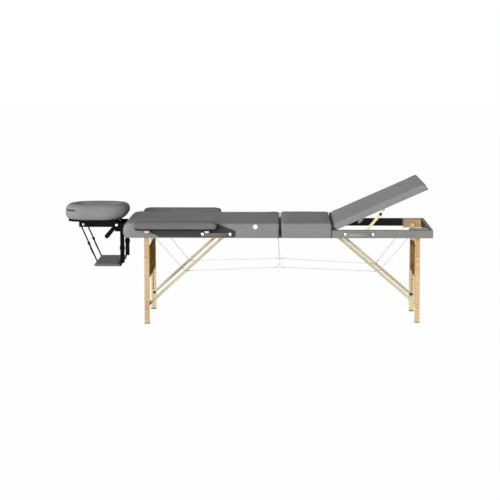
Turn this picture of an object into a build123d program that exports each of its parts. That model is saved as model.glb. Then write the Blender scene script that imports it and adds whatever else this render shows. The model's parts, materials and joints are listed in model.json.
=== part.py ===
from build123d import *
import os
from math import cos, hypot, radians, sin

# A folding wooden treatment table in two halves. X runs from the head end (-X) to the
# foot end (+X), the fold line is at X = 0, Y is the width and Z = 0 is the floor.
# Millimetres throughout.

# ---- driving dimensions -------------------------------------------------------------
table_width = 650
half_left = 945            # fold line to the head end
half_right = 915           # fold line to the foot end
fold_gap = 6
rail_bottom = 530          # floor to the underside of the frame
rail_height = 48
rail_thick = 20
band_thick = 2             # vinyl band round the frame
deck_thick = 5
cushion_thick = 40
# Sections of a cushion: how far each is drawn in, and its share of the thickness.
cushion_profile = ((6, 0), (0.5, 0.28), (0, 0.55), (4, 0.84), (16, 0.96), (60, 1))
corner_radius = 60         # head-end corners in plan
soft_corner = 14           # other cushion corners in plan
least_corner = 5
fit = 0.3                  # running clearance
seat_gap = 0.3             # soft solid to its seat

leg_left_inset = 141       # head end to the leg
leg_right_inset = 81       # foot end to the leg
leg_width = 30             # along X when standing
leg_pivot_drop = 28        # deck underside to the leg pivot
post_thick = 20
post_bottom = 90
extension_thick = 18
extension_top = 402
foot_height = 8
hole_pitch = 20
hole_count = 16
hole_first = 72
hole_dia = 6
slot_width = 8
extension_travel = 200
clamp_rows = (13, 15)      # rows of the hole pattern that hold the clamp bolts
bolt_head_height = 4
plate_bottom = 275         # cross plate of the H-shaped leg frame
plate_top = 455
plate_waist = 425          # the plate is narrower below this, beside the braces
plate_thick = 11
plate_brace_gap = 2
leg_side_gap = 20          # rail to the outer face of the head-end legs
leg_nest = 62              # the foot-end legs nest this far inside the head-end legs
leg_block_length = 110
leg_clear = 0.5            # between the sliding faces of a leg
bolt_dia = 8

brace_width = 18
brace_thick = 8
brace_foot_z = 110
brace_shift = 6            # brace line to the leg's centre line, towards the fold
brace_head_x = 310
brace_clear = 0.5          # between bars that turn beside each other
cleat_thick = 8.5
cleat_length = 24
knee_head = 2
eyelet_dia = 16
eyelet_wire = 3

backrest_hinge_x = 333
backrest_angle = 24
backrest_length = 600
middle_gap = 22            # middle cushion to the backrest hinge
backrest_gap = 0.4         # board underside to the rail tops when lying flat
hinge_slat_width = 30
hinge_slat_thick = 11
back_knuckle_dia = 7
back_leaf_thick = 1.5
back_hinge_y = 200
back_hinge_length = 64
back_pin_dia = 3
stay_foot_x = 504
stay_foot_drop = 22        # rail top to the stay's lower pivot
stay_head_along = 311      # backrest hinge to the stay's upper pivot, along the board
stay_head_drop = 10
stay_bar_width = 16
stay_upper_width = 12
stay_bar_thick = 3
stay_lower_length = 150
stay_upper_length = 130
stay_side_gap = 12         # rail to the lower stay bar
stay_bolt = 5
stay_slot_start = 22
stay_slot_width = 6
stay_knob_dia = 18
stay_knob_height = 10

handle_left_inset = 112    # fold end of the wing to the middle of the handle
handle_right_inset = 441   # foot end to the middle of the handle
handle_span = 165
handle_reach = 30
handle_height = 22
handle_thick = 6
handle_rise = 22           # frame's underside to the middle of the handle
handle_cap_dia = 16
handle_cap_height = 4
handle_tab = 3
handle_tab_edge = 1        # tab left round the cap

cable_dia = 3
cable_apex_drop = 195      # frame's underside to the cables' meeting point
cable_anchor_reach = 50    # leg pivot to the cable anchor, along X

platform_rear_gap = 45     # head end to the platform
platform_length = 310
platform_rise = 18         # cradle pivot to the platform's underside
platform_thick = 8
platform_half_width = 130
platform_front_corner = 70
platform_rear_corner = 20
platform_hole_size = (180, 120)
platform_hole_corner = 30
strap_front_reach = 283    # head end to the top of the front straps
cradle_pivot_gap = 52      # head end to the cradle pivot
cradle_pivot_rise = 31     # dowels to the cradle pivot
cradle_frame_reach = 284   # head end to the front of the cradle frame
cradle_frame_depth = 34
cradle_arm_thick = 14
cradle_lug_outer = 126
cradle_lug_thick = 10
cradle_lug_front = 12      # wood left round the pivot, towards the head end
cradle_lug_above = 8
cradle_arm_end = 10
dowel_dia = 16
dowel_y = 90
dowel_insert = 60
cradle_bar_thick = 22
cradle_bar_gap = 4         # cross bar to the head end of the table
cradle_bar_half = 185
pad_reach = 377            # head end to the front of the face cushion
pad_length = 402
pad_half_width = 150
pad_thick = 86
pad_corner = 130
pad_rear_cut = 40          # how far the rear edge is cut back underneath
pad_hole_reach = 188       # head end to the middle of the face hole
pad_hole_length = 210
pad_hole_width = 110
pad_hole_corner = 40
# Sections of the ring: how far each is drawn in, and its share of the thickness.
pad_profile = ((16, 0), (3, 0.2), (0, 0.45), (3, 0.72), (14, 0.93), (34, 1))
lever_length = 108
lever_thick = 14
lever_width = 20
lever_clear = 1
lever_angle = 232          # direction of the lever from its pivot, degrees from +X

shelf_gap = 23             # head end to the rear of the arm shelf
shelf_length = 167
shelf_half_width = 205
shelf_hang = 192           # frame's underside to the shelf's underside
shelf_thick = 17
shelf_corner = 20
# Sections of the shelf pad: how far each is drawn in, and its share of the thickness.
shelf_profile = ((4, 0), (0, 0.35), (2, 0.75), (14, 1))
strap_width = 25
strap_thick = 2
strap_y = 170
strap_y_front = 122
strap_inset = 18
strap_front_width = 10

armrest_inset = 70         # head end to the armrests
armrest_length = 502
armrest_width = 100
armrest_gap = 1
armrest_rise = 14          # rail top to the underside of the armrest pads
armrest_thick = 42
armrest_board_thick = 7
armrest_board_inset = 14
armrest_rod_insets = (84, 440)
armrest_rod_drop = 7       # rail top to the armrest rods
armrest_rod_dia = 8
armrest_post_dia = 12
armrest_rod_run = 35       # how far a rod reaches in past the rail
wing_thick = 6
wing_inset = 162           # head end to the wings
wing_length = 515
wing_slant = 60
wing_margin = 5

# ---- worked-out levels --------------------------------------------------------------
half_width = table_width / 2
rail_top = rail_bottom + rail_height
deck_top = rail_top + deck_thick
cushion_base = deck_top + seat_gap
rail_outer = half_width - band_thick
rail_inner = rail_outer - rail_thick
leg_pivot_z = rail_top - leg_pivot_drop
brace_head_z = leg_pivot_z + brace_shift   # folded bars lie along the folded legs
leg_block_base = rail_bottom + 2
pivot_bore = bolt_dia + 2 * fit
fold_edge = fold_gap / 2
head_end = -half_left
foot_end = half_right
leg_left_x = head_end + leg_left_inset
leg_right_x = foot_end - leg_right_inset
leg_outer_left = rail_inner - leg_side_gap
leg_outer_right = leg_outer_left - leg_nest
stay_y = rail_inner - stay_side_gap
stay_foot_z = rail_top - stay_foot_drop
wing_start_x = head_end + wing_inset
wing_end_x = wing_start_x + wing_length
handle_left_x = wing_end_x - handle_left_inset
handle_right_x = foot_end - handle_right_inset
handle_z = rail_bottom + handle_rise
cable_apex_z = rail_bottom - cable_apex_drop
dowel_z = rail_bottom + rail_height / 2
cradle_pivot_x = head_end - cradle_pivot_gap
cradle_pivot_z = dowel_z + cradle_pivot_rise
cradle_frame_front = head_end - cradle_frame_reach
platform_rear = head_end - platform_rear_gap
platform_front = platform_rear - platform_length
platform_z = cradle_pivot_z + platform_rise
strap_front_top_x = head_end - strap_front_reach
pad_front = head_end - pad_reach
pad_rear = pad_front + pad_length
pad_base_z = platform_z + platform_thick + seat_gap
pad_hole_x = head_end - pad_hole_reach
shelf_rear = head_end - shelf_gap
shelf_front = shelf_rear - shelf_length
shelf_z = rail_bottom - shelf_hang
armrest_start = head_end + armrest_inset
armrest_z = rail_top + armrest_rise
armrest_rod_x = [armrest_start + inset for inset in armrest_rod_insets]
armrest_rod_z = rail_top - armrest_rod_drop
armrest_rod_inner = rail_inner - armrest_rod_run
brace_stack = 2 * (brace_clear + brace_thick) + fit + knee_head + eyelet_wire


# ---- shared shapes ------------------------------------------------------------------
def block(x0, x1, y0, y1, z0, z1):
    """A box between two corners."""
    size = (abs(x1 - x0), abs(y1 - y0), abs(z1 - z0))
    middle = ((x0 + x1) / 2, (y0 + y1) / 2, (z0 + z1) / 2)
    return Pos(*middle) * Box(*size)


def rod_y(x, z, dia, y0, y1):
    """A round rod across the table, from y0 to y1."""
    return Pos(x, (y0 + y1) / 2, z) * Rot(90, 0, 0) * Cylinder(dia / 2, abs(y1 - y0))


def rod_x(y, z, dia, x0, x1):
    """A round rod along the table, from x0 to x1."""
    return Pos((x0 + x1) / 2, y, z) * Rot(0, 90, 0) * Cylinder(dia / 2, abs(x1 - x0))


def wire(start, end, dia):
    """A straight round wire between two points."""
    along = Vector(*end) - Vector(*start)
    plane = Plane(origin=start, z_dir=along.normalized())
    return extrude(plane * Circle(dia / 2), along.length)


def bar(start, end, width, y0, y1, bore):
    """A flat bar with round ends between two pivots in the XZ plane, bored at both."""
    dx = end[0] - start[0]
    dz = end[1] - start[1]
    length = hypot(dx, dz)
    high = max(y0, y1)
    middle = ((start[0] + end[0]) / 2, high, (start[1] + end[1]) / 2)
    plane = Plane(origin=middle, x_dir=(dx, 0, dz), z_dir=(0, -1, 0))
    solid = extrude(plane * SlotCenterToCenter(length, width), abs(y1 - y0))
    if bore > 0:
        for point in (start, end):
            solid -= rod_y(point[0], point[1], bore, y0 - 1, y1 + 1)
    return solid


def both_sides(solids):
    """The near (-Y) solids and their mirror images on the far side."""
    return list(solids) + [mirror(solid, Plane.XZ) for solid in solids]


def plan(x0, x1, half, radius_low, radius_high):
    """A rectangle in plan with its own corner radius at each end, centred on Y = 0."""
    outline = Pos((x0 + x1) / 2, 0) * Rectangle(x1 - x0, 2 * half)
    for end, radius in ((0, radius_low), (-1, radius_high)):
        if radius > 0:
            outline = fillet(outline.vertices().group_by(Axis.X)[end], radius)
    return outline


def cushion(x0, x1, half, z0, thick, radius_low, radius_high):
    """A padded block: sides drawn in at the foot, full at half height, crowned above."""
    sections = []
    for inset, share in cushion_profile:
        shape = plan(
            x0 + inset,
            x1 - inset,
            half - inset,
            max(radius_low - inset, least_corner),
            max(radius_high - inset, least_corner),
        )
        sections.append(Pos(0, 0, z0 + share * thick) * shape)
    return loft(sections, ruled=True)


parts = {}

# ---- frames, decks and cushions -----------------------------------------------------


def half_outline(side, inset):
    """The plan of one half of the table, drawn in by an inset on its outer sides."""
    if side < 0:
        return plan(-half_left + inset, -fold_edge, half_width - inset, corner_radius - inset, 0)
    return plan(fold_edge, half_right - inset, half_width - inset, 0, 0)


def frame_half(side, name):
    """Two side rails, an end rail and a centre rail, cut from the half's own outline."""
    body = Pos(0, 0, rail_bottom) * extrude(half_outline(side, band_thick), rail_height)
    end = half_left if side < 0 else half_right
    inner_end = side * (end - band_thick - rail_thick)
    outer_end = side * end
    centre = side * fold_edge
    inner_centre = side * (fold_edge + rail_thick)
    zs = (rail_bottom, rail_top)
    near = body & block(outer_end, centre, -half_width, -rail_inner, *zs)
    parts[f"rail_{name}_near"] = [near]
    parts[f"rail_{name}_far"] = [mirror(near, Plane.XZ)]
    end_name = "end_rail_head" if side < 0 else "end_rail_foot"
    parts[end_name] = [body & block(outer_end, inner_end, -rail_inner, rail_inner, *zs)]
    parts[f"centre_rail_{name}"] = [block(centre, inner_centre, -rail_inner, rail_inner, *zs)]


def side_band(side, top):
    """The vinyl band that wraps the outside of one half's frame."""
    outer = extrude(half_outline(side, 0), top - rail_bottom)
    core = half_outline(side, band_thick)
    inner = extrude(core, top - rail_bottom)
    return Pos(0, 0, rail_bottom) * (outer - inner)


frame_half(-1, "left")
frame_half(1, "right")

deck_left = Pos(0, 0, rail_top) * extrude(half_outline(-1, band_thick), deck_thick)
parts["deck_left"] = [deck_left]
middle_end = backrest_hinge_x - middle_gap
parts["deck_middle"] = [
    block(fold_edge, middle_end, -rail_outer, rail_outer, rail_top, deck_top)
]
parts["side_band_left"] = [side_band(-1, deck_top)]
past = 1                   # how far a cut runs past the face it goes through
past_width = half_width + past
band_cut = block(middle_end, half_right + past, -past_width, past_width, rail_top, deck_top + past)
parts["side_band_right"] = [side_band(1, deck_top) - band_cut]
flat = (half_width, cushion_base, cushion_thick)
parts["cushion_left"] = [cushion(-half_left, -fold_edge, *flat, corner_radius, soft_corner)]
parts["cushion_middle"] = [cushion(fold_edge, middle_end, *flat, soft_corner, soft_corner)]
slat_base = rail_top - hinge_slat_thick
slat_end = backrest_hinge_x - back_knuckle_dia / 2 - fit
slat_x = (backrest_hinge_x - hinge_slat_width, slat_end)
parts["hinge_slat"] = [block(*slat_x, -rail_inner, rail_inner, slat_base, rail_top)]

# ---- centre hinges ------------------------------------------------------------------
knuckle_dia = 10
hinge_pin_dia = 4
hinge_length = 60
hinge_leaf_end = 22
hinge_leaf_thick = 2
hinge_y = 120
fold_z = rail_bottom - knuckle_dia / 2


def hinge_leaves(side, spans, bore):
    """Leaves screwed under a centre rail, with their knuckles on the fold line."""
    solids = []
    under = rail_bottom - hinge_leaf_thick
    for middle in (-hinge_y, hinge_y):
        low = middle - hinge_length / 2
        high = middle + hinge_length / 2
        leaf = block(side * fold_edge, side * hinge_leaf_end, low, high, under, rail_bottom)
        leaf -= rod_y(0, fold_z, knuckle_dia + 2 * fit, low - 1, high + 1)
        for start, end in spans:
            y0 = low + start * hinge_length
            y1 = low + end * hinge_length
            leaf += rod_y(0, fold_z, knuckle_dia, y0, y1)
            leaf += block(0, side * hinge_leaf_end, y0, y1, under, rail_bottom)
        leaf -= rod_y(0, fold_z, bore, low - 1, high + 1)
        solids.append(leaf)
    return solids


left_spans = ((0, 0.32), (0.68, 1))
right_spans = ((0.33, 0.67),)
hinge_pins = [
    rod_y(0, fold_z, hinge_pin_dia, y - hinge_length / 2, y + hinge_length / 2)
    for y in (-hinge_y, hinge_y)
]
parts["hinges_left"] = hinge_leaves(-1, left_spans, hinge_pin_dia) + hinge_pins
parts["hinges_right"] = hinge_leaves(1, right_spans, hinge_pin_dia + 2 * fit)


# ---- legs ---------------------------------------------------------------------------
def leg_frame(name, x, outer, fold_dir):
    """An H-shaped leg frame: posts, sliding extensions, cross plate, blocks and pivots.

    outer is the outer face of the extensions from the centre line, and fold_dir the
    X direction that the feet swing in.
    """
    post_out = outer - extension_thick - leg_clear
    post_in = post_out - post_thick
    low_x = x - leg_width / 2
    high_x = x + leg_width / 2
    post = block(low_x, high_x, -post_out, -post_in, post_bottom, leg_pivot_z)
    post += rod_y(x, leg_pivot_z, leg_width, -post_out, -post_in)
    post -= rod_y(x, leg_pivot_z, pivot_bore, -post_out - 1, -post_in + 1)
    foot_x = x + fold_dir * brace_shift
    post -= rod_y(foot_x, brace_foot_z, bolt_dia, -post_out - 1, -post_in + 1)
    clamp_z = [hole_first + hole_pitch * row for row in clamp_rows]
    slot_low = clamp_z[0] - extension_travel - slot_width / 2
    slot_high = clamp_z[-1] + slot_width / 2
    slot_x = (x - slot_width / 2, x + slot_width / 2)
    post -= block(*slot_x, -post_out - 1, -post_in + 1, slot_low, slot_high)

    near_y = (-outer, -outer + extension_thick)
    extension = block(low_x, high_x, *near_y, foot_height, extension_top)
    for row in range(hole_count):
        z = hole_first + hole_pitch * row
        extension -= rod_y(x, z, hole_dia, near_y[0] - 1, near_y[1] + 1)
    foot = block(low_x, high_x, *near_y, 0, foot_height)
    clamps = []
    for z in clamp_z:
        shank = rod_y(x, z, hole_dia, -outer, -post_in - leg_clear)
        head = rod_y(x, z, 2 * hole_dia, -outer - bolt_head_height, -outer)
        clamps.append(shank + head)
    near = [extension, foot] + clamps

    plate_face = x + fold_dir * leg_width / 2
    plate_back = plate_face - fold_dir * plate_thick
    plate_half = post_in - brace_stack - plate_brace_gap
    plate = block(plate_face, plate_back, -post_in, post_in, plate_waist, plate_top)
    plate += block(plate_face, plate_back, -plate_half, plate_half, plate_bottom, plate_waist)
    block_x = (x - leg_block_length / 2, x + leg_block_length / 2)
    mount = block(*block_x, -rail_inner, -post_out - fit, leg_block_base, rail_top)
    mount -= rod_y(x, leg_pivot_z, bolt_dia, -rail_inner - 1, -post_in)
    pivot = rod_y(x, leg_pivot_z, bolt_dia, -rail_inner, -post_in + fit)
    head_y = -post_in + fit
    pivot += rod_y(x, leg_pivot_z, 2 * bolt_dia, head_y, head_y + bolt_head_height)

    parts[f"leg_post_{name}_near"] = [post]
    parts[f"leg_post_{name}_far"] = [mirror(post, Plane.XZ)]
    parts[f"leg_extension_{name}_near"] = near
    parts[f"leg_extension_{name}_far"] = [mirror(solid, Plane.XZ) for solid in near]
    parts[f"leg_plate_{name}"] = [plate]
    parts[f"leg_blocks_{name}"] = both_sides([mount])
    parts[f"pivot_bolts_{name}"] = both_sides([pivot])
    return post_in


post_in_left = leg_frame("left", leg_left_x, leg_outer_left, 1)
post_in_right = leg_frame("right", leg_right_x, leg_outer_right, -1)


# ---- folding braces -----------------------------------------------------------------
def brace_layout(leg_x, side):
    """Head, knee and foot of a brace whose two bars lie flat when the leg is folded."""
    head = (side * brace_head_x, brace_head_z)
    foot = (leg_x - side * brace_shift, brace_foot_z)
    length = hypot(foot[0] - head[0], foot[1] - head[1])
    reach = leg_pivot_z - brace_foot_z
    folded = abs(abs(leg_x) - reach - brace_head_x)
    share = (length + folded) / 2 / length
    knee_x = head[0] + share * (foot[0] - head[0])
    knee_z = head[1] + share * (foot[1] - head[1])
    return head, (knee_x, knee_z), foot


def eyelet(x, y, z):
    """A ring standing in the XZ plane."""
    core = (eyelet_dia - eyelet_wire) / 2
    return Pos(x, y, z) * Rot(90, 0, 0) * Torus(core, eyelet_wire / 2)


def brace_pair(name, leg_x, side, post_in, cleat_top):
    """Upper and lower bars, side by side at the knee, their bolts and the head cleats."""
    head, knee, foot = brace_layout(leg_x, side)
    lower_out = post_in - brace_clear
    lower_in = lower_out - brace_thick
    upper_out = lower_in - brace_clear
    upper_in = upper_out - brace_thick
    lower = bar(knee, foot, brace_width, -lower_out, -lower_in, bolt_dia)
    upper = bar(head, knee, brace_width, -upper_out, -upper_in, pivot_bore)
    head_y = -upper_in + fit
    knee_bolt = rod_y(*knee, bolt_dia, -lower_out, head_y)
    knee_bolt += rod_y(*knee, 2 * bolt_dia, head_y, head_y + knee_head)
    ring_y = head_y + knee_head + eyelet_wire / 2
    ring = eyelet(knee[0], ring_y, knee[1])
    cleat_out = upper_in - brace_clear
    cleat_in = cleat_out - cleat_thick
    cleat_x = (head[0] - cleat_length / 2, head[0] + cleat_length / 2)
    cleat = block(*cleat_x, -cleat_out, -cleat_in, head[1] - brace_width / 2, cleat_top)
    cleat -= rod_y(*head, bolt_dia, -cleat_out - 1, -cleat_in + 1)
    head_bolt = rod_y(*head, bolt_dia, -upper_out, -cleat_in)
    parts[f"brace_upper_{name}"] = both_sides([upper])
    parts[f"brace_lower_{name}"] = both_sides([lower, knee_bolt, ring])
    parts[f"brace_cleats_{name}"] = both_sides([cleat, head_bolt])
    return knee, -ring_y


left_knee, left_ring_y = brace_pair("left", leg_left_x, -1, post_in_left, rail_top)
right_knee, right_ring_y = brace_pair("right", leg_right_x, 1, post_in_right, slat_base)

# ---- tension cables -----------------------------------------------------------------
cable_radius = cable_dia / 2
ring_clear = eyelet_dia / 2 + fit
slant_clear = eyelet_dia / 2 + cable_radius     # for the runs that leave a ring aslant
apex_y = (left_ring_y + right_ring_y) / 2
apex = (0, -apex_y, cable_apex_z)


def cable(start, end, start_clear, end_clear):
    """A straight cable that stops a little short of each of its fittings."""
    along = (Vector(*end) - Vector(*start)).normalized()
    return wire(Vector(*start) + along * start_clear, Vector(*end) - along * end_clear, cable_dia)


def side_cables(name, leg_x, knee, ring_y, outer, side):
    """Leg cable and span cable of one half, on both sides of the table."""
    anchor_x = leg_x - side * cable_anchor_reach
    anchor = (anchor_x, -outer - cable_dia, leg_block_base - cable_radius)
    ring = (knee[0], -ring_y, knee[1])
    leg_run = cable(ring, anchor, slant_clear, 0)
    span_run = cable(ring, apex, ring_clear, ring_clear)
    parts[f"cables_{name}"] = both_sides([leg_run, span_run])


side_cables("left", leg_left_x, left_knee, left_ring_y, leg_outer_left, -1)
side_cables("right", leg_right_x, right_knee, right_ring_y, leg_outer_right, 1)
drop_top = (-fold_edge - rail_thick / 2, -apex_y, rail_bottom - fit)
drop_run = cable(apex, drop_top, ring_clear, 0)
parts["cables_left"] += both_sides([eyelet(*apex), drop_run])


# ---- carrying handles ---------------------------------------------------------------
def handle(x, face):
    """A bowed grip with a flat tab and a round cap at each end, on the near side."""
    low = x - handle_span / 2
    high = x + handle_span / 2
    tab = handle_cap_dia / 2 + handle_tab_edge
    start = low + tab
    stop = high - tab
    inner_start = start + handle_thick
    inner_stop = stop - handle_thick
    bow = -face - handle_reach
    outline = make_face(
        [
            ThreePointArc((start, -face), (x, bow), (stop, -face)),
            Line((stop, -face), (inner_stop, -face)),
            ThreePointArc((inner_stop, -face), (x, bow + handle_thick), (inner_start, -face)),
            Line((inner_start, -face), (start, -face)),
        ]
    )
    base = handle_z - handle_height / 2
    grip = Pos(0, 0, base) * extrude(outline, handle_height)
    caps = []
    for end in (low, high):
        grip += block(end - tab, end + tab, -face - handle_tab, -face, base, base + handle_height)
        cap_y = -face - handle_tab
        caps.append(rod_y(end, handle_z, handle_cap_dia, cap_y - handle_cap_height, cap_y))
    return [grip] + caps


parts["handle_right"] = handle(handle_right_x, half_width)

# ---- armrests -----------------------------------------------------------------------
wing_face = half_width + wing_thick
armrest_end = armrest_start + armrest_length
wing_outline = Polyline(
    (wing_start_x + wing_slant, rail_bottom + wing_margin),
    (wing_end_x, rail_bottom + wing_margin),
    (wing_end_x, rail_top - wing_margin),
    (armrest_end, armrest_z + armrest_thick / 2),
    (wing_start_x, armrest_z + armrest_thick / 2),
    (wing_start_x, rail_top - 2 * wing_margin),
    close=True,
)
wing_plane = Plane(origin=(0, -half_width, 0), x_dir=(1, 0, 0), z_dir=(0, -1, 0))
wing = extrude(wing_plane * make_face(wing_outline), wing_thick)
rod_bore = armrest_rod_dia + 2 * fit
for place in armrest_rod_x:
    bore = rod_y(place, armrest_rod_z, rod_bore, -wing_face - 1, -armrest_rod_inner + 1)
    far_bore = mirror(bore, Plane.XZ)
    wing -= bore
    parts["rail_left_near"][0] -= bore
    parts["rail_left_far"][0] -= far_bore
    parts["side_band_left"][0] -= bore
    parts["side_band_left"][0] -= far_bore
    parts["leg_blocks_left"][0] -= bore
    parts["leg_blocks_left"][1] -= far_bore
parts["armrest_wings"] = both_sides([wing])
parts["handle_left"] = handle(handle_left_x, wing_face)

armrest_inner = wing_face + armrest_gap
armrest_middle = armrest_inner + armrest_width / 2
board_top = armrest_z - seat_gap
board_base = board_top - armrest_board_thick
pad_centre = Pos(armrest_start + armrest_length / 2, -armrest_middle, 0)
half_armrest = armrest_length / 2
armrest_form = (armrest_width / 2, armrest_z, armrest_thick, soft_corner, soft_corner)
armrest_pad = pad_centre * cushion(-half_armrest, half_armrest, *armrest_form)
board_outer = armrest_inner + armrest_width - armrest_board_inset
board_y = (-board_outer, -armrest_inner - armrest_board_inset)
board_x = (armrest_start + armrest_board_inset, armrest_end - armrest_board_inset)
support = block(*board_x, *board_y, board_base, board_top)
for place in armrest_rod_x:
    support += rod_y(place, armrest_rod_z, armrest_rod_dia, -armrest_middle, -armrest_rod_inner)
    post_low = armrest_rod_z - armrest_post_dia / 2
    post_middle = Pos(place, -armrest_middle, (post_low + board_base) / 2)
    support += post_middle * Cylinder(armrest_post_dia / 2, board_base - post_low)
parts["armrest_pad_near"] = [armrest_pad]
parts["armrest_pad_far"] = [mirror(armrest_pad, Plane.XZ)]
parts["armrest_support_near"] = [support]
parts["armrest_support_far"] = [mirror(support, Plane.XZ)]

# ---- backrest -----------------------------------------------------------------------
lift = Pos(backrest_hinge_x, 0, rail_top) * Rot(0, -backrest_angle, 0)
board_up = backrest_gap + deck_thick
board_start = back_knuckle_dia / 2 + fit
board = block(board_start, backrest_length, -rail_outer, rail_outer, backrest_gap, board_up)
soft_up = board_up + seat_gap
back_form = (half_width, soft_up, cushion_thick, soft_corner, soft_corner)
back_soft = cushion(0, backrest_length, *back_form)
parts["backrest_board"] = [lift * board]
parts["cushion_backrest"] = [lift * back_soft]


back_hinge_ys = [
    (y - back_hinge_length / 2, y + back_hinge_length / 2) for y in (-back_hinge_y, back_hinge_y)
]


def back_knuckles(leaf, spans, bore):
    """Two hinge leaves with barrels on the backrest's axis; leaf(y0, y1) is one flat leaf."""
    solids = []
    for low, high in back_hinge_ys:
        through = (low - past, high + past)
        leaf_clear = back_knuckle_dia + 2 * fit
        solid = leaf(low, high) - rod_y(backrest_hinge_x, rail_top, leaf_clear, *through)
        for start, end in spans:
            ys = (low + start * back_hinge_length, low + end * back_hinge_length)
            solid += rod_y(backrest_hinge_x, rail_top, back_knuckle_dia, *ys) + leaf(*ys)
        solids.append(solid - rod_y(backrest_hinge_x, rail_top, bore, *through))
    return solids


def slat_leaf(y0, y1):
    return block(slat_end, slat_end + back_leaf_thick, y0, y1, slat_base, rail_top)


def board_leaf(y0, y1):
    return lift * block(board_start - back_leaf_thick, board_start, y0, y1, backrest_gap, board_up)


back_pins = [rod_y(backrest_hinge_x, rail_top, back_pin_dia, *ys) for ys in back_hinge_ys]
parts["hinges_right"] += back_knuckles(slat_leaf, left_spans, back_pin_dia) + back_pins
back_hinges = back_knuckles(board_leaf, right_spans, back_pin_dia + 2 * fit)


def on_board(along, up):
    """The XZ place of a point given along the lifted board and square to it."""
    angle = radians(backrest_angle)
    x = backrest_hinge_x + along * cos(angle) - up * sin(angle)
    z = rail_top + along * sin(angle) + up * cos(angle)
    return (x, z)


def on_line(start, toward, distance):
    """The point at a distance from start on the line to another point."""
    dx = toward[0] - start[0]
    dz = toward[1] - start[1]
    share = distance / hypot(dx, dz)
    return (start[0] + dx * share, start[1] + dz * share)


stay_foot = (stay_foot_x, stay_foot_z)
stay_head = on_board(stay_head_along, -stay_head_drop)
lower_tip = on_line(stay_foot, stay_head, stay_lower_length)
upper_tip = on_line(stay_head, stay_foot, stay_upper_length)
lower_in = stay_y - stay_bar_thick
upper_out = lower_in - brace_clear
upper_in = upper_out - stay_bar_thick
stay_bore = stay_bolt + 2 * fit
lower_bar = bar(stay_foot, lower_tip, stay_bar_width, -stay_y, -lower_in, stay_bore)
slot_a = on_line(stay_foot, stay_head, stay_slot_start)
slot_b = on_line(stay_foot, stay_head, stay_lower_length - stay_slot_start)
lower_bar -= bar(slot_a, slot_b, stay_slot_width, -stay_y - 1, -lower_in + 1, 0)
knob = rod_y(*lower_tip, stay_bore, -stay_y, -lower_in)
knob += rod_y(*lower_tip, stay_knob_dia, -stay_y - stay_knob_height, -stay_y)
upper_bar = bar(stay_head, upper_tip, stay_upper_width, -upper_out, -upper_in, stay_bolt)
foot_bolt = rod_y(*stay_foot, stay_bolt, -rail_inner, -lower_in)
ear_out = upper_in - fit
ear_in = ear_out - stay_bar_thick
ear_x = (stay_head_along - stay_bar_width / 2, stay_head_along + stay_bar_width / 2)
ear_base = -stay_head_drop - stay_bar_width / 2
ear = lift * block(*ear_x, -ear_out, -ear_in, ear_base, backrest_gap)
ear -= rod_y(*stay_head, stay_bolt, -ear_out - 1, -ear_in + 1)
head_bolt = rod_y(*stay_head, stay_bolt, -upper_out, -ear_in)
parts["stay_lower"] = both_sides([lower_bar, knob])
parts["pivot_bolts_right"] += both_sides([foot_bolt])
parts["stay_upper"] = both_sides([upper_bar])
parts["backrest_fittings"] = both_sides([ear, head_bolt]) + back_hinges

# ---- face cradle --------------------------------------------------------------------
cradle_bar_x = -half_left - cradle_bar_gap - cradle_bar_thick / 2
bar_x = (cradle_bar_x - cradle_bar_thick / 2, cradle_bar_x + cradle_bar_thick / 2)
bar_z = (dowel_z - cradle_bar_thick / 2, dowel_z + cradle_bar_thick / 2)
base_bar = block(*bar_x, -cradle_bar_half, cradle_bar_half, *bar_z)
for y in (-dowel_y, dowel_y):
    socket_end = -half_left + band_thick + rail_thick + 1
    socket = rod_x(y, dowel_z, dowel_dia + 2 * fit, -half_left - 1, socket_end)
    parts["end_rail_head"][0] -= socket
    parts["side_band_left"][0] -= socket
    base_bar += rod_x(y, dowel_z, dowel_dia, cradle_bar_x, -half_left + dowel_insert)
for low in (-cradle_lug_outer, cradle_lug_outer - cradle_lug_thick):
    lug_x = (cradle_pivot_x - cradle_lug_front, bar_x[1])
    lug_z = (bar_z[0], cradle_pivot_z + cradle_lug_above)
    base_bar += block(*lug_x, low, low + cradle_lug_thick, *lug_z)
base_bar -= rod_y(cradle_pivot_x, cradle_pivot_z, bolt_dia, -half_width, half_width)
parts["cradle_base"] = [base_bar]

frame_out = cradle_lug_outer - cradle_lug_thick - brace_clear
frame_base = platform_z - cradle_frame_depth
arm_x = (cradle_frame_front, cradle_pivot_x + cradle_arm_end)
cross_x = (cradle_frame_front, cradle_frame_front + cradle_arm_thick)
cradle_frame = block(*cross_x, -frame_out, frame_out, frame_base, platform_z)
for low in (-frame_out, frame_out - cradle_arm_thick):
    cradle_frame += block(*arm_x, low, low + cradle_arm_thick, frame_base, platform_z)
cradle_frame -= rod_y(cradle_pivot_x, cradle_pivot_z, pivot_bore, -half_width, half_width)
pin_y = (-cradle_lug_outer, -frame_out + cradle_arm_thick)
cradle_pin = rod_y(cradle_pivot_x, cradle_pivot_z, bolt_dia, *pin_y)
parts["cradle_pivots"] = both_sides([cradle_pin])
platform_hole = RectangleRounded(*platform_hole_size, platform_hole_corner)
platform_corners = (platform_front_corner, platform_rear_corner)
platform_plan = plan(platform_front, platform_rear, platform_half_width, *platform_corners)
platform_plan -= Pos(pad_hole_x, 0) * platform_hole
parts["cradle_frame"] = [cradle_frame]
parts["cradle_platform"] = [Pos(0, 0, platform_z) * extrude(platform_plan, platform_thick)]


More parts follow.
